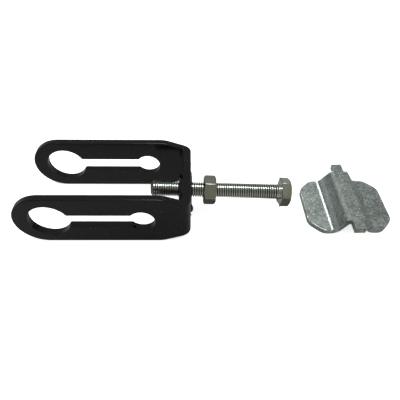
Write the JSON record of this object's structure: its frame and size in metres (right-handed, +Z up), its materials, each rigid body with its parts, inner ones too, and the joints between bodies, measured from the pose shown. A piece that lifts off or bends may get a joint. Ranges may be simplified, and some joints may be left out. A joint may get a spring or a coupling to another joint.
{
  "type": "trailer coupler lock",
  "caption": "U-shaped steel yoke with keyhole slots in both ears, a hexagon bolt and lock nut through its welded nut, and a loose pressed clamp plate that the bolt drives along the slots.",
  "frame": {"origin": "on the axis of the two large eyes, midway between the ears", "axes": "+X from the open end of the yoke towards the bolt head, whose own axis leans 2.1 degrees down from it, +Y across the ears along the eyes, +Z up from the ground the yoke stands on"},
  "size_m": [0.2443, 0.0622, 0.038],
  "materials": {
    "black_paint": "gloss black paint",
    "zinc": "bright zinc plated",
    "zinc_plate": "mottled zinc plated"
  },
  "bodies": {
    "frame": {"yoke": "black_paint", "weld_nut": "black_paint", "nut_weld": "black_paint"},
    "bolt": {"bolt": "zinc"},
    "lock_nut": {"lock_nut": "zinc"},
    "plate": {"clamp_plate": "zinc_plate"}
  },
  "joints": [
    {"name": "bolt_advance", "type": "slide", "parent": "frame", "child": "bolt", "axis": [0.9993, 0, -0.0366], "range_m": [-0.0425, 0.02]},
    {"name": "lock_nut_run", "type": "slide", "parent": "frame", "child": "lock_nut", "axis": [0.9993, 0, -0.0366], "range_m": [-0.0071, 0.0425]},
    {"name": "plate_lift", "type": "slide", "parent": "frame", "child": "plate", "axis": [0, 0, 1], "range_m": [0, 0.06]}
  ]
}
